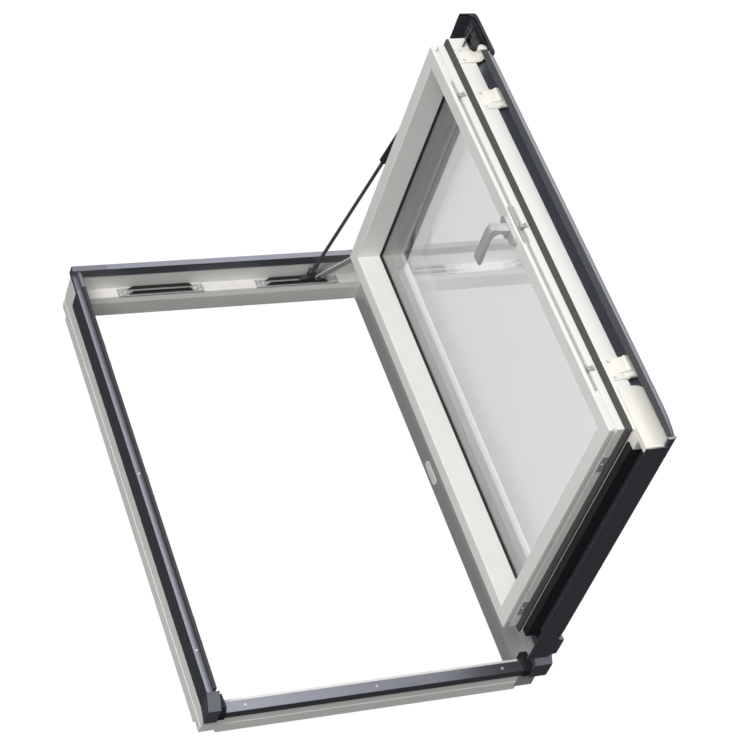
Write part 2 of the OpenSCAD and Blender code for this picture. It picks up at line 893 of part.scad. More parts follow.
// Folded sill cover: flange, bevel and top
module sill_cover() {
  f = -flange_out;
  t = sheet_t;
  color("#26282c") sash_place() union() {
    along_x(cover_x1 + 0.5, frame_w - cover_x1 - 0.5) polygon([
      [f, flange_z], [f, flange_top], [f + 13, cover_top], [sill_cover_y1 - inner_slope, cover_top],
      [sill_cover_y1, lip_z + t], [sill_cover_y1, lip_z], [sill_cover_y1 - 14, lip_z],
      [sill_cover_y1 - 14, lip_z + t], [sill_cover_y1 - 1.5 * t, lip_z + t],
      [sill_cover_y1 - inner_slope - 1, cover_top - t], [f + 14, cover_top - t], [f + t, flange_top - 0.6],
      [f + t, flange_z]
    ]);
    box([flange_in, f, flange_z], [frame_w - cover_edge, f + t, flange_top]);
    box([insulation_x0, f, flange_z + 20], [sash_x1 - 20, sash_y0 - proud - 16, flange_z + 20 + t]);
  }
}

insulation_w = 16;
insulation_x0 = sash_x0 + 24;

module sill_insulation() {
  color("#1b1b1c") sash_place()
    box([insulation_x0, sash_y0 - proud - insulation_w, proud_z + 1], [sash_x1, sash_y0 - proud, sash_top]);
}

end_block_t = 5;
end_block_r = 22;
end_block_y0 = -9.5;
end_block_y1 = 118;

// White block at the lower end of the lock side, rounded at its upper outer corner
module cover_end_block() {
  y0 = cover_y0 + 0.3;
  z0 = proud_z + 4;
  z1 = cover_top - sheet_t - 3;
  color("#f1f0ea") sash_place() union() {
    along_x(sash_x0 - proud - end_block_t, sash_x0 - proud) polygon(concat(
      [[y0, z0], [y0, z1]],
      [for (a = [90:-15:0]) [end_block_y1 - end_block_r + end_block_r * cos(a),
                             z1 - end_block_r + end_block_r * sin(a)]],
      [[end_block_y1, z0]]
    ));
    box([sash_x0 - proud - end_block_t, end_block_y0, z0], [sash_x0 - proud, y0 + cut, lip_z - 3]);
    box([sash_x0 - proud - 1, end_block_y0, z0], [sash_x0 - 0.5, sash_y0 - proud, sash_top]);
    box([sash_x0 - proud - 1, sash_y0 - proud - insulation_w - 2, z0],
        [insulation_x0 - 1, sash_y0 - proud, sash_top]);
  }
}

clip_w = 43;
clip_t = 3;
clip_lower_y = 156;
clip_upper_in = 195;

// Cover clip: a screwed plate on the sash edge that bulges out to grip the side cover
module cover_clip(y) {
  x0 = sash_x0 - proud;
  translate([0, y, 0]) union() {
    box([x0 - clip_t, -clip_w / 2, proud_z + 5], [x0, clip_w / 2, sash_top]);
    along_y(-clip_w / 2 + 5, clip_w / 2) polygon([
      [x0, sash_top - 12], [x0 - clip_t - 5, sash_top - 8], [x0 - clip_t - 9, sash_top + 4],
      [x0 - clip_t - 9, cover_top - sheet_t - 9], [x0 - clip_t, cover_top - sheet_t],
      [x0, cover_top - sheet_t]
    ]);
  }
}

module cover_clip_lower() {
  color("#eceae0") sash_place() cover_clip(clip_lower_y);
}

module cover_clip_upper() {
  color("#eceae0") sash_place() cover_clip(frame_l - clip_upper_in);
}

bracket_w = 36;
bracket_y = sash_y1 - 38;

// Plate at the head end of the lock side that carries the hood
module hood_bracket() {
  x0 = sash_x0 - proud;
  color("#eceae0") sash_place() union() {
    box([x0 - clip_t, bracket_y - bracket_w / 2, proud_z + 2], [x0, bracket_y + bracket_w / 2, sash_top + 8]);
    box([x0 - clip_t - 10, bracket_y + bracket_w / 2 - 14, sash_top + 2],
        [x0, bracket_y + bracket_w / 2, cover_top - 3]);
  }
}

catch_x = 18;

// Folded metal catch inside the hood's open end, on the sash's head edge
module hood_catch() {
  y0 = sash_y1 + proud;
  color("#55585a") sash_place()
    for (m = [0, 1])
      translate([m * frame_w, 0, 0]) mirror([m, 0, 0]) union() {
        box([catch_x + 12, y0 - 18, sash_top], [catch_x + 50, y0 + 3, sash_top + 2.5]);
        box([catch_x + 12, y0 + 0.5, sash_top], [catch_x + 50, y0 + 3, hood_top - 6]);
        box([catch_x + 8, y0 + 0.5, hood_top - 18], [catch_x + 30, y0 + 26, hood_top - 6]);
      }
}

// Rounded heads on the clips and on the bracket
module clip_screws() {
  x0 = sash_x0 - proud - clip_t;
  color("#dedcd2") sash_place() {
    for (y = [clip_lower_y, frame_l - clip_upper_in])
      for (s = [-1, 1])
        translate([x0, y + s * (clip_w / 2 - 5), proud_z + 10]) rotate([0, -90, 0]) screw_head();
    for (s = [-1, 1])
      translate([x0, bracket_y + s * (bracket_w / 2 - 6), proud_z + 10]) rotate([0, -90, 0]) screw_head();
  }
}

keeper_w = 40;
keeper_in = 93;

// Two small plates on the sash's sill edge, each with a screw head
module keeper_plates() {
  color("#a9a9a6") sash_place()
    for (x = [sash_x0 + keeper_in, sash_x1 - keeper_in + 34]) {
      box([x - keeper_w / 2, sash_y0 - 1.5, groove_z + groove_h + 0.5],
          [x + keeper_w / 2, sash_y0, proud_z - seal_h - 1]);
      translate([x, sash_y0 - 1.5, groove_z + groove_h + 6]) rotate([90, 0, 0]) screw_head();
    }
}

// ---------- lock ----------

bar_t = 3;
bar_gap = 0.5;
bar_half = striker_pitch + 40;
cam_x0 = nub_x1 - 2;
cam_arm_x0 = sash_x0 - 2.5;
cam_top = finger_z - 1;

// Bar in the lock groove with three cams that stand out past the sash's edge
module lock_bar() {
  x1 = sash_x0 + groove_d;
  z0 = groove_z + bar_gap;
  z1 = groove_z + groove_h - bar_gap;
  color("#8f9194") sash_place() union() {
    box([x1 - bar_t, frame_l / 2 - bar_half, z0], [x1 - 0.2, frame_l / 2 + bar_half, z1]);
    for (y = striker_middles()) {
      box([cam_arm_x0, y - cam_len / 2, z0 + 3], [x1 - bar_t + 0.5, y + cam_len / 2, z1 - 1]);
      box([cam_arm_x0, y - cam_len / 2, z0 + 3], [sash_x0 - 0.4, y + cam_len / 2, cam_top]);
      box([cam_x0, y - cam_len / 2, cam_top - 3], [sash_x0 - 0.4, y + cam_len / 2, cam_top]);
    }
  }
}

module lock_gearbox() {
  color("#9a9c9e") sash_place() difference() {
    box(gearbox_lo, gearbox_hi);
    translate([spindle_x, spindle_y, 0]) cylinder(h = big, r = spindle_r + run_gap);
  }
}

// ---------- handle ----------

module handle_base() {
  color("#b4b4b2") sash_place() translate([spindle_x, spindle_y, room_z - base_t]) difference() {
    linear_extrude(base_t) union() {
      square([base_w, base_len - base_w], center = true);
      for (s = [-1, 1])
        translate([0, s * (base_len - base_w) / 2]) circle(d = base_w);
    }
    translate([0, 0, -cut]) cylinder(h = base_t + 2 * cut, r = spindle_r + run_gap);
  }
}

neck_w = 13;
lever_gap = 0.3;

// Lever with its neck and spindle; it points across the sash when unlocked
module handle_lever() {
  out = lever_out;
  back = 3;
  z0 = room_z - base_t - lever_gap;
  zo = room_z - out;
  color("#b4b4b2") sash_place() translate([spindle_x, spindle_y, 0]) union() {
    cylinder_between(z0 - 6, gearbox_hi[2] - 1, spindle_r);
    translate([0, lever_w / 2, 0]) rotate([90, 0, 0]) linear_extrude(lever_w) polygon([
      [-neck_w / 2, z0], [neck_w / 2, z0], [neck_w / 2 + 1, zo + lever_t + 8], [neck_w / 2 + 8, zo + lever_t],
      [lever_reach - 2, zo + lever_t + 1], [lever_reach, zo + lever_t - 2], [lever_reach, zo + 2],
      [lever_reach - 3, zo], [2, zo - 1], [-back + 1.5, zo + 1], [-back, zo + 4]
    ]);
  }
}

module cylinder_between(z0, z1, r) {
  translate([0, 0, z0]) cylinder(h = z1 - z0, r = r);
}

// ---------- stay ----------

open_pin_x = frame_w - pin_in;
slider_len = 40;
slider_gap = 0.3;
slider_top = floor_z + channel_h + 3;
lug_w = 13;
lug_t = 1.8;
link_t = 3;
link_dx = 14;
link_z = pin_z - 7;
stay_gap = 0.3;
rod_end_half = 3.8;
lug_in = rod_end_half + stay_gap;
link_y1 = rail_y - lug_in - lug_t - stay_gap;
link_y0 = link_y1 - link_t;

module across(y0, y1, r) {
  translate([0, y1, 0]) rotate([90, 0, 0]) cylinder(h = y1 - y0, r = r);
}

// Block that runs in the rail's channel, with two lugs for the strut's end and a pin for the link
module stay_slider() {
  color("#77797c") frame_place() translate([open_pin_x, 0, 0]) union() {
    box([-slider_len / 2, rail_y - channel_gap / 2 + slider_gap, floor_z + slider_gap],
        [slider_len / 2, rail_y + channel_gap / 2 - slider_gap, slider_top]);
    box([-slider_len / 2, rail_y - lug_in - lug_t, slider_top - 2],
        [slider_len / 2, rail_y + lug_in + lug_t, slider_top]);
    for (s = [-1, 1])
      box([-lug_w / 2, rail_y + s * (lug_in + lug_t / 2) - lug_t / 2, slider_top - cut],
          [lug_w / 2, rail_y + s * (lug_in + lug_t / 2) + lug_t / 2, pin_z + lug_w / 2]);
    box([0, rail_y - lug_in - lug_t, slider_top - cut],
        [link_dx + stay_pin_r + 1.5, rail_y - lug_in, link_z + stay_pin_r + 2]);
    translate([0, 0, pin_z])
      across(rail_y + lug_in + lug_t - cut, rail_y + lug_in + lug_t + 1.5, stay_pin_r + 1);
    translate([link_dx, 0, link_z]) {
      across(link_y0 - stay_gap, rail_y - lug_in - cut / 2, stay_pin_r);
      across(link_y0 - stay_gap - 1, link_y0 - stay_gap, stay_pin_r + 1.5);
    }
  }
}

link_w = 14;

// Flat link from the slider's pin up to the sash's stud
module stay_link() {
  color("#b9b9b7") frame_place() translate([open_pin_x + link_dx, link_y1, link_z]) rotate([90, 0, 0])
    rotate([0, 0, link_rise]) difference() {
      union() {
        cylinder(h = link_t, r = link_w / 2);
        translate([0, -link_w / 2, 0]) cube([link_len, link_w, link_t]);
        translate([link_len, 0, 0]) cylinder(h = link_t, r = link_w / 2);
        translate([link_len, 0, -1.2]) cylinder(h = 2, r = stay_pin_r + 1);
      }
      translate([0, 0, -cut]) cylinder(h = link_t + 2 * cut, r = stay_pin_r + run_gap);
    }
}

// Strut, from its pivot on the sash down to the slider's pin, with the sash open
strut_top = swing_point([strut_in, strut_z], open_angle);
strut_dx = strut_top[0] - open_pin_x;
strut_dz = strut_top[1] - pin_z;
strut_len = sqrt(strut_dx * strut_dx + strut_dz * strut_dz);
strut_tilt = atan2(strut_dx, strut_dz);
cylinder_wall = 1.2;
eye_r = 7;
eye_t = 7;
fitting_len = 14;
cylinder_z0 = rod_show;
cylinder_z1 = strut_len - fitting_len;

module strut_place() {
  frame_place() translate([open_pin_x, rail_y, pin_z]) rotate([0, strut_tilt, 0]) children();
}

// Tube with its end fitting and its eye on the sash's stud
module strut_cylinder() {
  color("#2b2c2e") strut_place() difference() {
    union() {
      translate([0, 0, cylinder_z0]) cylinder(h = cylinder_z1 - cylinder_z0, r = cylinder_r);
      translate([0, 0, cylinder_z1 - cut]) cylinder(h = fitting_len - eye_r + 3, r = cylinder_r * 0.6);
      translate([0, 0, strut_len]) across(-eye_t / 2, eye_t / 2, eye_r);
    }
    translate([0, 0, cylinder_z0 + 8])
      cylinder(h = cylinder_z1 - cylinder_z0 - 12, r = cylinder_r - cylinder_wall);
    translate([0, 0, cylinder_z0 - cut]) cylinder(h = 8 + 2 * cut, r = rod_r + run_gap);
    translate([0, 0, strut_len]) across(-eye_t, eye_t, stay_pin_r + run_gap);
  }
}

piston_len = 6;

// Rod with its piston inside the cylinder and a flat end between the slider's lugs
module strut_rod() {
  color("#8d9093") strut_place() union() {
    cylinder(h = cylinder_z0 + 8 + piston_len, r = rod_r);
    translate([0, 0, cylinder_z0 + 9])
      cylinder(h = piston_len - 1, r = cylinder_r - cylinder_wall - run_gap);
    across(-rod_end_half, rod_end_half, 6);
    translate([0, 0, 14]) cylinder(h = 12, r = rod_r + 1.5);
  }
}

stud_gap = 0.3;

// Studs on the sash's head edge: a short one that meets the link, a long one through the cylinder's eye
module stay_studs() {
  y0 = sash_y1 + proud;
  open_x = open_pin_x + link_dx + link_len * cos(link_rise);
  open_z = link_z + link_len * sin(link_rise);
  link_at = swing_point([open_x, open_z], -open_angle);
  color("#a2a4a6") sash_place() {
    translate([link_at[0], 0, link_at[1]]) across(y0, link_y0 - stud_gap, stay_pin_r);
    translate([strut_in, 0, strut_z]) union() {
      across(y0, rail_y - eye_t / 2 - stud_gap, stay_pin_r + 2);
      across(y0, rail_y + eye_t / 2 + stud_gap + 0.2, stay_pin_r);
      across(rail_y + eye_t / 2 + stud_gap, rail_y + eye_t / 2 + stud_gap + 1.5, stay_pin_r + 1.5);
    }
  }
}

frame_sill();
frame_head();
frame_lock_side();
frame_hinge_side();
cladding_sill();
cladding_head();
cladding_lock_side();
cladding_hinge_side();
corner_cover_lock();
corner_cover_hinge();
corner_cap_lock();
corner_cap_hinge();
corner_blocks();
cladding_screws();
stay_rail_spare();
stay_rail();
rail_screws();
strikers();
striker_screws();
oval_plug();
ledge_clip();
frame_hinge_lower();
frame_hinge_upper();
hinge_pins();
sash_sill();
sash_head();
sash_lock_side();
sash_hinge_side();
inner_pane();
outer_pane();
glass_spacer();
inner_glazing_gasket();
outer_glazing_gasket();
weather_gasket();
side_cover_lock();
side_cover_hinge();
cover_end_lock();
cover_end_hinge();
hood();
sill_cover();
sill_insulation();
cover_end_block();
cover_clip_lower();
cover_clip_upper();
hood_bracket();
hood_catch();
clip_screws();
keeper_plates();
sash_hinge_lower();
sash_hinge_upper();
stay_studs();
handle_base();
lock_gearbox();
lock_bar();
handle_lever();
stay_slider();
stay_link();
strut_cylinder();
strut_rod();
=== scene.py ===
import json
import math

import bpy
from mathutils import Matrix, Vector


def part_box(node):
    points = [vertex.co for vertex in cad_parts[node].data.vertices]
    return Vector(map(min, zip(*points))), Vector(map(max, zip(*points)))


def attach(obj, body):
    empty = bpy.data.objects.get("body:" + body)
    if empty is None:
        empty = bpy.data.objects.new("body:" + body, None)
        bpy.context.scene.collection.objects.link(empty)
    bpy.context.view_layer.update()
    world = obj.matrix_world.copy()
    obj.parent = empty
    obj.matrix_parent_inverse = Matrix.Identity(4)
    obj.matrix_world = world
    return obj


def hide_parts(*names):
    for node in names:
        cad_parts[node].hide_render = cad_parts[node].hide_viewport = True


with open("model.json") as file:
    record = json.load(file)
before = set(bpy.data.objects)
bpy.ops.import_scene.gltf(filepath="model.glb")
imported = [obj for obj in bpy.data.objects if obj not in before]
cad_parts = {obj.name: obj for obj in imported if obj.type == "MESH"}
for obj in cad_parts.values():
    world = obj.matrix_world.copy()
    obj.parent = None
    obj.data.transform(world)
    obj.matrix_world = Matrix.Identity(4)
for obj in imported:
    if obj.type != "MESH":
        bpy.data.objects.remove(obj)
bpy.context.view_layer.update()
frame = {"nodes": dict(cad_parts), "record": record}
bpy.ops.object.select_all(action="DESELECT")


# ---------------------------------------------------------------- materials

# The colour sockets of a Mix node set to RGBA
MIX_A, MIX_B, MIX_OUT = 6, 7, 2


def linear(hex_colour):
    """sRGB hex to a linear RGBA."""
    values = []
    for i in (0, 2, 4):
        c = int(hex_colour[i:i + 2], 16) / 255
        values.append(c / 12.92 if c <= 0.04045 else ((c + 0.055) / 1.055) ** 2.4)
    return (*values, 1)


def add(tree, kind, settings=None, links=None):
    """Adds a node of that kind. A setting is an attribute, or an input's value by its name or number."""
    node = tree.nodes.new(kind)
    for key, value in (settings or {}).items():
        if isinstance(key, int) or key in node.inputs:
            node.inputs[key].default_value = value
        else:
            setattr(node, key, value)
    for key, source in (links or {}).items():
        tree.links.new(source, node.inputs[key])
    return node


def start(name, hex_colour, roughness, metallic=0.0, ior=1.5, edge_mm=0.5, **more):
    """A new material whose edges are broken by a small radius.

    Gives the material, its node tree, its shader and the Object coordinates that patterns hang on.
    """
    m = bpy.data.materials.new(name)
    m.use_nodes = True
    t = m.node_tree
    t.nodes.clear()
    shader = add(t, "ShaderNodeBsdfPrincipled", {"Base Color": linear(hex_colour), "Roughness": roughness,
                                                "Metallic": metallic, "IOR": ior, **more})
    add(t, "ShaderNodeOutputMaterial", links={"Surface": shader.outputs[0]})
    if edge_mm:
        edge = add(t, "ShaderNodeBevel", {"samples": 4, "Radius": edge_mm / 1000})
        t.links.new(edge.outputs[0], shader.inputs["Normal"])
    place = add(t, "ShaderNodeTexCoord")
    return m, t, shader, place.outputs["Object"]


def grain(t, shader, where, size_mm, low, high, dark, light, bump_mm=0.0, stretch=(1, 1, 1)):
    """Noise of one real size: it varies the roughness and the colour a little, and may raise a bump."""
    turn = add(t, "ShaderNodeMapping", {"Scale": [s * 1000 / size_mm for s in stretch]}, {"Vector": where})
    noise = add(t, "ShaderNodeTexNoise", {"Scale": 1.0, "Detail": 3}, {"Vector": turn.outputs[0]})
    spread = add(t, "ShaderNodeMapRange", {"From Min": 0.3, "From Max": 0.7, "To Min": low, "To Max": high},
                 {"Value": noise.outputs[0]})
    t.links.new(spread.outputs[0], shader.inputs["Roughness"])
    mix = add(t, "ShaderNodeMix", {"data_type": "RGBA"}, {0: noise.outputs[0]})
    mix.inputs[MIX_A].default_value = linear(dark)
    mix.inputs[MIX_B].default_value = linear(light)
    t.links.new(mix.outputs[MIX_OUT], shader.inputs["Base Color"])
    if bump_mm:
        bump = add(t, "ShaderNodeBump", {"Strength": 1.0, "Distance": bump_mm / 1000},
                   {"Height": noise.outputs[0]})
        for link in shader.inputs["Normal"].links:
            t.links.new(link.from_socket, bump.inputs["Normal"])
        t.links.new(bump.outputs[0], shader.inputs["Normal"])


# Polyurethane skin over timber: smooth, white, a soft sheen
polyurethane, t, s, w = start("white_polyurethane", "E9E7E3", 0.38)
grain(t, s, w, 40, 0.34, 0.44, "E5E3DF", "ECEAE7")

# The same skin on the sash, a shade brighter
sash_skin, t, s, w = start("white_sash_skin", "F0EFEC", 0.36)
grain(t, s, w, 40, 0.32, 0.42, "EDECE9", "F2F1EE")

# Folded aluminium in a metallic grey lacquer: fine orange peel, a lilac cast in the light
powder_coat, t, s, w = start("grey_metallic_lacquer", "9799A3", 0.42, metallic=0.94)
grain(t, s, w, 1.6, 0.38, 0.46, "9496A0", "9A9CA7", bump_mm=0.01)


def trimmed(name, source, axis, beyond, hex_colour):
    """A copy of a metal finish that turns to a dull dark one past a place on one axis."""
    m = source.copy()
    m.name = name
    t = m.node_tree
    shader = next(n for n in t.nodes if n.type == "BSDF_PRINCIPLED")
    place = add(t, "ShaderNodeSeparateXYZ", links={0: add(t, "ShaderNodeTexCoord").outputs["Object"]})
    past = add(t, "ShaderNodeMath", {"operation": "GREATER_THAN", 1: beyond}, {0: place.outputs[axis]})
    mix = add(t, "ShaderNodeMix", {"data_type": "RGBA"}, {0: past.outputs[0]})
    t.links.new(shader.inputs["Base Color"].links[0].from_socket, mix.inputs[MIX_A])
    mix.inputs[MIX_B].default_value = linear(hex_colour)
    t.links.new(mix.outputs[MIX_OUT], shader.inputs["Base Color"])
    bare = add(t, "ShaderNodeMapRange", {"To Min": shader.inputs["Metallic"].default_value, "To Max": 0.0},
               {"Value": past.outputs[0]})
    t.links.new(bare.outputs[0], shader.inputs["Metallic"])
    return m


# Moulded black plastic: matt, fine spark-eroded grain
black_moulding, t, s, w = start("black_moulded_plastic", "1C1D1F", 0.5, ior=1.49)
grain(t, s, w, 0.8, 0.44, 0.58, "1A1B1D", "1F2022", bump_mm=0.03)

# Moulded corners, painted in the cladding's lacquer, a little darker and duller
dark_moulding, t, s, w = start("dark_grey_painted_moulding", "83858F", 0.45, metallic=0.8)
grain(t, s, w, 0.8, 0.4, 0.52, "80828B", "878993", bump_mm=0.03)

# White acetal clips: waxy, slightly warm
acetal, t, s, w = start("white_acetal", "EFEDE3", 0.34, ior=1.48, **{
    "Subsurface Weight": 0.05, "Subsurface Radius": (0.002, 0.002, 0.002)})
grain(t, s, w, 6, 0.3, 0.4, "ECEAE0", "F2F0E7")

# Bright zinc on pressed steel: a faint cloudy spangle
zinc, t, s, w = start("bright_zinc_plate", "C4C5C3", 0.34, metallic=0.45)
grain(t, s, w, 5, 0.28, 0.42, "BDBEBC", "CACBC9")

# Passivated plate on the lock bar, flat grey
dull_zinc, t, s, w = start("passivated_zinc_bar", "B0AFAC", 0.42, metallic=0.25)
grain(t, s, w, 5, 0.38, 0.48, "ABAAA7", "B5B4B1")

# Zinc on screw and rivet heads
screws, t, s, w = start("zinc_screws", "D2D3D2", 0.3, metallic=0.5)
grain(t, s, w, 2, 0.25, 0.38, "CACBCA", "DADBDA")

# Ground steel pins and the strut's rod
ground_steel, t, s, w = start("ground_steel", "B6B8BA", 0.22, metallic=1.0)
grain(t, s, w, 1.0, 0.18, 0.3, "AEB0B2", "BEC0C2", stretch=(1, 1, 0.05))

# Phosphated steel: grey, dull, a little cloudy
dull_steel, t, s, w = start("dull_phosphated_steel", "55585B", 0.45, metallic=0.5)
grain(t, s, w, 2, 0.38, 0.52, "505356", "5B5E61")

# Satin black paint on the strut's tube
black_paint, t, s, w = start("satin_black_paint", "26272A", 0.36)
grain(t, s, w, 2, 0.32, 0.42, "242528", "292A2D")

# Silver lacquer over a zinc casting: even, with a soft sheen
silver_lacquer, t, s, w = start("silver_lacquer", "C6C6C5", 0.36, metallic=0.2)
grain(t, s, w, 0.8, 0.32, 0.42, "C2C2C1", "CACAC9", bump_mm=0.01)

# Extruded rubber seals: EPDM, matt with a grey bloom
seal_rubber, t, s, w = start("grey_epdm_seal", "494744", 0.7, ior=1.52)
grain(t, s, w, 3, 0.62, 0.8, "44423F", "4F4D4A")

# The glazing beads' rubber, blacker and smoother
glazing_rubber, t, s, w = start("black_epdm_bead", "242423", 0.6, ior=1.52)
grain(t, s, w, 3, 0.52, 0.68, "222221", "282827")

# Warm-edge spacer, dull grey
spacer_metal, t, s, w = start("spacer_bar", "3E3E3C", 0.5)
grain(t, s, w, 3, 0.45, 0.55, "3A3A38", "434341")

# Float glass with a hard low-emissivity coat of tin oxide, which doubles its reflection
float_glass = start("coated_float_glass", "FCFCFC", 0.0, ior=1.52, edge_mm=0, **{
    "Transmission Weight": 1.0, "Coat Weight": 1.0, "Coat Roughness": 0.0, "Coat IOR": 2.1})[0]

# Finishes by the record's slots, then by node where a piece differs from its slot
FINISH = {
    "frame_white": polyurethane, "sash_white": sash_skin,
    "cladding_grey": powder_coat, "cover_grey": powder_coat, "corner_grey": dark_moulding,
    "black_plastic": black_moulding, "white_plastic": acetal, "clip_plastic": acetal,
    "zinc_metal": zinc, "screw_metal": screws, "steel_pin": ground_steel, "hinge_metal": zinc,
    "dark_metal": dull_steel, "black_metal": black_paint, "handle_metal": silver_lacquer,
    "clear_glass": float_glass, "spacer_metal": spacer_metal, "gasket_rubber": seal_rubber,
    "glazing_rubber": glazing_rubber,
}
slot_of = {p["node"]: p["material_slot"] for p in frame["record"]["subparts"]}

# Where each dark part starts, in metres in from one side of its piece's box
RIDGE_IN, SHEET_SIDE, RAIL_PLATE = 0.0102, 0.0007, 0.0022
ridge_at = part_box("cladding_lock_side")[0][0] + RIDGE_IN
cover_side_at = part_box("side_cover_lock")[1][2] - SHEET_SIDE
rail_walls_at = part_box("stay_rail")[0][2] + RAIL_PLATE
# Zinc rails with painted shade on the side walls: a dull dark colour in place of the dark that the walls
# reflect, so that the zinc shows along the floor of the channel
rail_zinc = trimmed("zinc_rail_with_painted_shade_on_walls", zinc, 2, rail_walls_at, "2A2A27")
# Lacquered sheets with a dull dark strip: one on the lock side's ridge, which is painted shade that keeps the
# ridge dark where the lacquer would catch the sheen, and one on the cover's edge
SPECIAL = {
    "cladding_lock_side": trimmed("grey_lacquer_with_painted_shade_on_ridge", powder_coat, 0, ridge_at, "2F3135"),
    "side_cover_lock": trimmed("grey_lacquer_with_edge_strip", powder_coat, 2, cover_side_at, "242628"),
    "stay_rail": rail_zinc, "stay_rail_spare": rail_zinc, "oval_plug": polyurethane, "lock_bar": dull_zinc,
}
for name, node in frame["nodes"].items():
    node.data.materials.clear()
    node.data.materials.append(SPECIAL.get(name) or FINISH[slot_of[name]])


# ---------------------------------------------------------------- modelling helpers

# Metres in a millimetre
MM = 0.001
joints = {j["name"]: j for j in frame["record"]["behaviour"]["joints"]}
swing = joints["sash_swing"]
hinge_at = Vector(swing["pos_m"])
open_turn = (Matrix.Translation(hinge_at) @ Matrix.Rotation(math.radians(swing["range_deg"][1]), 4, "Y")
             @ Matrix.Translation(-hinge_at))
shut_turn = open_turn.inverted()


def shut_box(node):
    """The box of a CAD node, with the sash swung shut."""
    points = [shut_turn @ v.co for v in frame["nodes"][node].data.vertices]
    return tuple(Vector([end(p[k] for p in points) for k in range(3)]) for end in (min, max))


def bar(points, axis, lo, hi, edge=0.4, segments=2):
    """A bar along one axis, with rounded edges. Its outline is in mm, in the two axes after that one."""
    bpy.ops.mesh.primitive_circle_add(vertices=len(points), fill_type="NGON")
    obj = bpy.context.object
    u, v = (axis + 1) % 3, (axis + 2) % 3
    for vertex, (a, b) in zip(obj.data.vertices, points):
        vertex.co[axis] = lo * MM
        vertex.co[u] = a * MM
        vertex.co[v] = b * MM
    along = [0, 0, 0]
    along[axis] = (hi - lo) * MM
    bpy.ops.object.mode_set(mode="EDIT")
    bpy.ops.mesh.select_all(action="SELECT")
    bpy.ops.mesh.extrude_region_move(TRANSFORM_OT_translate={"value": along})
    bpy.ops.mesh.select_all(action="SELECT")
    bpy.ops.mesh.normals_make_consistent(inside=False)
    if edge:
        bpy.ops.mesh.bevel(offset=edge * MM, segments=segments, affect="EDGES", clamp_overlap=True)
    bpy.ops.mesh.select_all(action="DESELECT")
    bpy.ops.object.mode_set(mode="OBJECT")
    return obj


def dome(x, y, z, radius, height):
    """A domed head standing on z: the upper half of a flattened ball."""
    bpy.ops.mesh.primitive_uv_sphere_add(segments=20, ring_count=12, radius=radius * MM, location=(0, 0, 0))
    obj = bpy.context.object
    bpy.ops.object.mode_set(mode="EDIT")
    bpy.ops.mesh.select_all(action="SELECT")
    bpy.ops.transform.resize(value=(1, 1, height / radius))
    bpy.ops.mesh.select_all(action="SELECT")
    bpy.ops.mesh.bisect(plane_co=(0, 0, 0), plane_no=(0, 0, 1), use_fill=True, clear_inner=True)
    bpy.ops.mesh.select_all(action="SELECT")
    bpy.ops.transform.translate(value=(x * MM, y * MM, z * MM))
    bpy.ops.object.mode_set(mode="OBJECT")
    return obj


def piece(name, parts, finish, body, turn=None, nodes=(), smooth=35):
    """One named piece: its parts are joined, swung to where the body rests, finished and tied to the body."""
    bpy.ops.object.select_all(action="DESELECT")
    for part in parts:
        part.select_set(True)
    obj = parts[0]
    bpy.context.view_layer.objects.active = obj
    if len(parts) > 1:
        bpy.ops.object.join()
    obj.name = obj.data.name = name
    if turn:
        obj.matrix_world = turn
        bpy.ops.object.transform_apply(location=True, rotation=True, scale=True)
    bpy.ops.object.shade_smooth_by_angle(angle=math.radians(smooth))
    obj.data.materials.clear()
    obj.data.materials.append(finish)
    bpy.ops.object.select_all(action="DESELECT")
    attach(obj, body)
    if nodes:
        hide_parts(*nodes)
    return obj


def mm(vector):
    """Metres to millimetres."""
    return [value / MM for value in vector]


def between(a, b):
    """Two places on an axis, the lower one first."""
    return min(a, b), max(a, b)


# ---------------------------------------------------------------- lever handle

lo, hi = (mm(v) for v in shut_box("handle_lever"))
base_face = mm(shut_box("handle_base")[0])[2]
turn_at = mm(shut_turn @ Vector(joints["handle_turn"]["pos_m"]))
out = base_face - lo[2]
tip = hi[0] - turn_at[0]
# Seen from the lever's side: along the lever from its turning axis, and out from the base's face
LEVER = [
    (-10, 0.4), (-10.6, 7), (-11, 14), (-11.5, 21), (-12.6, 27), (-14, 32), (-14.4, 36.5),
    (-12.6, out - 5), (-8.4, out - 1.8), (-2, out - 0.4), (8, out), (tip - 14, out), (tip - 7, out - 0.8),
    (tip - 2.6, out - 3), (tip, out - 6.4), (tip - 0.2, out - 9), (tip - 3, out - 10.6),
    (tip - 10, out - 9.8), (16, out - 9.2), (8, out - 10.4), (2.4, out - 13.6), (-0.6, out - 18.4),
    (-1.6, 18), (-0.4, 12.6), (3, 8.6), (8, 6), (11, 3.6), (11.6, 0.4),
]
LEVER_EDGE, SPINDLE_R, SPINDLE_SIDES = 2.6, 3.9, 24
lever = bar([(base_face - v, turn_at[0] + u) for u, v in LEVER], 1, lo[1] - 0.5, hi[1] + 0.5, LEVER_EDGE, 4)
spindle = bar([(turn_at[0] + SPINDLE_R * math.cos(a), turn_at[1] + SPINDLE_R * math.sin(a))
               for a in [math.tau * k / SPINDLE_SIDES for k in range(SPINDLE_SIDES)]],
              2, base_face - 1, hi[2], 0.3)
piece("lever_handle", [lever, spindle], silver_lacquer, "handle", open_turn,
      ["handle_lever"], 50)

# ---------------------------------------------------------------- cover clips and the hood's bracket

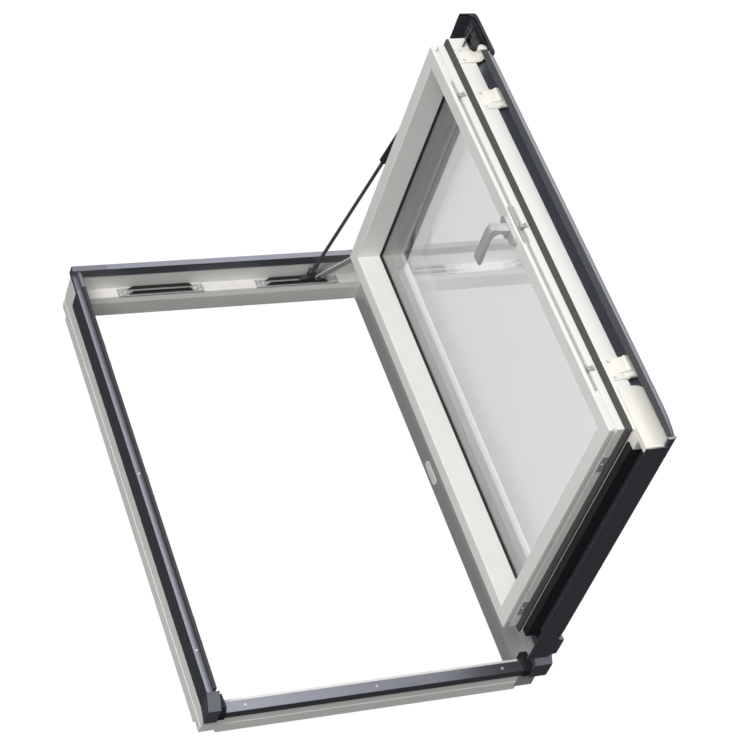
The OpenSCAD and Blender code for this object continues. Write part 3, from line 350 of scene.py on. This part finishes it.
CLIP_T, CLIP_H, MOULD_EDGE = 3, 33, 0.9
for which in ("lower", "upper"):
    lo, hi = (mm(v) for v in shut_box("cover_clip_" + which))
    y0, y1, face, z0, z1 = lo[1], hi[1], hi[0], lo[2], hi[2]
    plate = bar([(y0, z0), (y1, z0), (y1, z0 + CLIP_H), (y0, z0 + CLIP_H)], 0, face - CLIP_T, face,
                MOULD_EDGE, 2)
    hook = bar([(z0 + 12, face), (z0 + 12, face - 3.2), (z0 + 18, face - 6.5), (z0 + 30, face - 8),
                (z0 + 33, face - 11.4), (z0 + 35.5, face - 12), (z0 + 38, face - 11), (z0 + 44, face - 9),
                (z1 - 2, face - 4), (z1, face - 2), (z1, face)], 1, y0 + 12, y1, MOULD_EDGE, 3)
    wing = bar([(z0 + 22, face), (z0 + 23, face - 3.4), (z0 + 30, face - 5), (z0 + 38, face - 7),
                (z0 + 46, face - 6), (z0 + 50, face - 3), (z0 + 50, face)],
               1, y0 + 2, y0 + 12.5, MOULD_EDGE, 3)
    lug = bar([(z0 + 16, face - 1), (z0 + 16, face - 6), (z0 + 24, face - 6), (z0 + 24, face - 1)],
              1, y1 - 7, y1, 1.2, 3)
    piece("cover_clip_moulding_" + which, [plate, hook, wing, lug], acetal, "sash", open_turn,
          ["cover_clip_" + which])

lo, hi = (mm(v) for v in shut_box("hood_bracket"))
y0, y1, face, z0, z1 = lo[1], hi[1], hi[0], lo[2], hi[2]
plate = bar([(y0, z0), (y1, z0), (y1, z0 + 27), (y1 - 6, z0 + 32), (y1 - 11, z0 + 36), (y1 - 4, z0 + 41),
             (y1, z0 + 50), (y1 - 6, z1 - 1), (y0 + 13, z1 - 2), (y0 + 3, z0 + 44), (y0, z0 + 38)],
            0, face - CLIP_T, face, 0.8, 2)
arm = bar([(y1 - 14, z0 + 38), (y1 - 5, z0 + 42), (y1 - 1, z0 + 50), (y1 - 6, z1), (y1 - 14, z1)],
          0, lo[0], face - 2, 0.8, 2)
piece("hood_bracket_moulding", [plate, arm], acetal, "sash", open_turn, ["hood_bracket"])

# ---------------------------------------------------------------- inside the hood's ends

lo, hi = (mm(v) for v in shut_box("hood"))
top, back, low = hi[2], hi[1], lo[2]
# Outlines seen along the hood: how far up the slope, and how high
RIM = [
    (back, low), (back, top - 5), (back - 1.4, top - 1.6), (back - 4.6, top + 0.8), (back - 12, top + 1.7),
    (lo[1] + 12, top + 1.7), (lo[1] + 8, top), (lo[1] + 8, top - 5), (back - 15, top - 5.4),
    (back - 10, top - 8), (back - 7, top - 13), (back - 7, top - 15.2), (back - 2.4, top - 16),
    (back - 2.4, low),
]
PLUG = [
    (back - 82, top - 25), (back - 74, top - 33), (back - 62, top - 32), (back - 52, top - 26),
    (back - 50, top - 17), (back - 60, top - 12), (back - 70, top - 14), (back - 76, top - 20),
]
STRAP = [
    (back - 66, top - 44), (back - 26, top - 12), (back - 14, top - 12), (back - 14, top - 13.6),
    (back - 25.4, top - 13.6), (back - 65, top - 45.6),
]
for k, (end, name) in enumerate(((lo[0], "lock_side"), (hi[0], "hinge_side"))):
    inward = 1 - 2 * k
    rim = bar(RIM, 0, *between(end - 5 * inward, end), MOULD_EDGE, 2)
    piece("hood_end_rim_" + name, [rim], black_moulding, "sash", open_turn)
    plug = bar(PLUG, 0, *between(end + 4 * inward, end + 17 * inward), 1.4, 2)
    piece("hood_plug_" + name, [plug], black_moulding, "sash", open_turn)
    strap = bar(STRAP, 0, *between(end + 6 * inward, end + 26 * inward), 0.3, 1)
    piece("hood_strap_" + name, [strap], dull_steel, "sash", open_turn)

# ---------------------------------------------------------------- side cover on the lock side, with its nose

lo, hi = (mm(v) for v in shut_box("side_cover_lock"))
end_lo, end_hi = (mm(v) for v in shut_box("cover_end_lock"))
GAUGE = 1.6
x0, x1, lip, top = lo[0], hi[0], end_lo[2], hi[2]
# The sheet's section, and the angle under it that it is fixed by: how high, and how far across
FOLD = [
    (lip, x0), (top - 14, x0), (top - 1.4, x0 + 6.2), (top, x0 + 8.4), (top, x1 - 8), (lip + GAUGE, x1),
    (lip, x1), (lip, x1 - 14), (lip + GAUGE, x1 - 14), (lip + GAUGE, x1 - 2.4), (top - GAUGE, x1 - 9),
    (top - GAUGE, x0 + 9), (top - 3, x0 + 7.4), (top - 14.4, x0 + GAUGE), (lip, x0 + GAUGE),
]
WEB_IN, WEB_FOOT = 31, 43
WEB = [
    (lo[2], x0 + WEB_IN), (top - GAUGE, x0 + WEB_IN), (top - GAUGE, x0 + WEB_IN + GAUGE),
    (lo[2] + GAUGE, x0 + WEB_IN + GAUGE), (lo[2] + GAUGE, x0 + WEB_FOOT), (lo[2], x0 + WEB_FOOT),
]
# How far up the slope the bow starts, and how far the top comes down at the nose. The cuts give the
# sheet its places to bend
NOSE_FROM, NOSE_DROP = 66, 7.5
NOSE_CUTS = [60, 50, 41, 32, 24, 16, 9, 2]
floor_y = mm(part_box("frame_sill")[0])[1]


def bow(obj):
    """Lowers the top of a part of the cover more and more over its last stretch down to the nose."""
    bpy.ops.object.select_all(action="DESELECT")
    obj.select_set(True)
    bpy.context.view_layer.objects.active = obj
    bpy.ops.object.mode_set(mode="EDIT")
    for cut in NOSE_CUTS:
        bpy.ops.mesh.select_all(action="SELECT")
        bpy.ops.mesh.bisect(plane_co=(0, (floor_y + cut) * MM, 0), plane_no=(0, 1, 0))
    bpy.ops.mesh.select_all(action="DESELECT")
    bpy.ops.object.mode_set(mode="OBJECT")
    for vertex in obj.data.vertices:
        y = vertex.co.y / MM - floor_y
        rise = (vertex.co.z / MM - lip) / (top - lip)
        if y < NOSE_FROM and rise > 0:
            along = (NOSE_FROM - y) / (NOSE_FROM - lo[1] + floor_y)
            vertex.co.z -= NOSE_DROP * MM * rise * along ** 2
    return obj


fold = bow(bar(FOLD, 1, lo[1], hi[1], 0.35, 1))
web = bow(bar(WEB, 1, floor_y + 33, hi[1], 0.3, 1))
piece("side_cover_folded", [fold, web], SPECIAL["side_cover_lock"], "sash", open_turn,
      ["side_cover_lock"])
NOSE = [
    (end_hi[1], lip), (end_hi[1], top - NOSE_DROP), (end_lo[1] + 2, top - NOSE_DROP - 1.6),
    (end_lo[1] - 0.4, top - NOSE_DROP - 5), (end_lo[1] - 1.6, top - NOSE_DROP - 10),
    (end_lo[1] - 1.6, lip + 3), (end_lo[1] + 1, lip),
]
nose = bar(NOSE, 0, x0, x1 - 4, 1.6, 3)
piece("side_cover_nose", [nose], powder_coat, "sash", open_turn, ["cover_end_lock"], 50)

# The white end block under the nose: a tall cheek whose top follows the bowed cover, and a heel behind it
lo, hi = (mm(v) for v in shut_box("cover_end_block"))
x0, y0, z0, y1, z1 = lo[0], lo[1], lo[2], hi[1], hi[2]
CHEEK_R, CHEEK_T, HEEL_H = 22, 5, 29
cheek_line = [(y0, z0), (y0, z0 + 35), (y0 + 4.8, z0 + 35), (y0 + 4.8, z1 - 4.9), (y0 + 14.5, z1 - 2.8),
              (y0 + 23.5, z1 - 1.2), (y0 + 31.5, z1)]
cheek_line += [(y1 - CHEEK_R + CHEEK_R * math.cos(a), z1 - CHEEK_R + CHEEK_R * math.sin(a))
               for a in [math.radians(90 - 10 * k) for k in range(10)]]
cheek = bar(cheek_line + [(y1, z0)], 0, x0, x0 + CHEEK_T, 0.8, 2)
heel = bar([(x0 + 4, y0), (x0 + 13.5, y0), (x0 + 13.5, y0 + 24.5), (x0 + 37, y0 + 24.5), (x0 + 37, y0 + 42.5),
            (x0 + 4, y0 + 42.5)], 2, z0, z0 + HEEL_H, 0.6, 2)
piece("end_block_moulding", [cheek, heel], acetal, "sash", open_turn,
      ["cover_end_block"])

# ---------------------------------------------------------------- domed rivets on the stay rails

seat_z = mm(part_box("rail_screws")[0])[2]
RIVET_SPOTS = [(7, -5), (7, 5), (16, 0)]
RIVET_R, RIVET_H = 3.2, 2.4
heads = []
for rail in ("stay_rail", "stay_rail_spare"):
    lo, hi = (mm(v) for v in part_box(rail))
    middle = (lo[1] + hi[1]) / 2
    for inset, off in RIVET_SPOTS:
        for x in (lo[0] + inset, hi[0] - inset):
            heads.append(dome(x, middle + off, seat_z, RIVET_R, RIVET_H))
piece("rail_rivets", heads, screws, "frame", None, ["rail_screws"], 60)


# ---------------------------------------------------------------- floor, light and camera

# A pale backdrop that glows by itself, so that it carries no shadow. It is seen straight on or through
# the glass, and throws no light on the other pieces
bpy.ops.mesh.primitive_plane_add(size=60, location=(0, 0, -0.0005))
floor = bpy.context.object
floor.name = "floor"
floor.data.materials.append(start("lit_pale_backdrop", "000000", 1.0, **{
    "Specular IOR Level": 0.0, "Emission Color": linear("FFFFFF"), "Emission Strength": 1.02})[0])
floor.visible_diffuse = False
floor.visible_glossy = False


def softbox(name, at, size, watts, aim=(0, 0, 0.2)):
    """An area light at a place, turned to face a point."""
    bpy.ops.object.light_add(type="AREA", location=at)
    lamp = bpy.context.object
    lamp.name = name
    lamp.data.shape = "RECTANGLE"
    lamp.data.size, lamp.data.size_y = size
    lamp.data.energy = watts
    lamp.rotation_euler = (Vector(aim) - Vector(at)).to_track_quat("-Z", "Y").to_euler()
    return lamp


softbox("key_light", (-4.6, -1.3, 6.6), (3.6, 3.6), 448)
# Seen only in reflections: the sheen on the cladding's upper faces and along the cover's bevel
for panel in (softbox("sheen_panel", (2.4, 1.7, 5.5), (5.5, 5.5), 112),
              softbox("side_reflector", (4.5, 2.9, 1.5), (2.6, 2.6), 26, (0.3, 0, 0.6))):
    panel.visible_diffuse = False
# Lifts the white faces that look down the slope
softbox("low_fill", (-2.0, -3.8, 0.4), (1.2, 0.5), 22, (0, -0.45, 0.1)).visible_glossy = False

# Studio air: brighter overhead than below
world = bpy.data.worlds.new("studio")
bpy.context.scene.world = world
world.use_nodes = True
t = world.node_tree
height = add(t, "ShaderNodeSeparateXYZ", links={0: add(t, "ShaderNodeTexCoord").outputs["Object"]})
level = add(t, "ShaderNodeMapRange", {"From Min": -0.05, "From Max": 0.5, "To Min": 0.038, "To Max": 0.55},
            {"Value": height.outputs["Z"]})
t.links.new(level.outputs[0], t.nodes["Background"].inputs["Strength"])
t.nodes["Background"].inputs["Color"].default_value = (1, 1, 1, 1)
bpy.context.scene.view_settings.view_transform = "Standard"

bpy.ops.object.camera_add(location=(-1.7086, -2.42108, 3.52873))
camera = bpy.context.object
# The camera's own axes: its right, its up, and the way it points away from
right = Vector((0.909863, -0.3125, 0.272933))
up = Vector((0.076262, 0.772567, 0.630336))
back = Vector((-0.407839, -0.552706, 0.726763))
camera.rotation_euler = Matrix((right, up, back)).transposed().to_euler()
camera.data.sensor_width = 36
camera.data.lens = 115.59
camera.data.clip_end = 200
bpy.context.scene.camera = camera
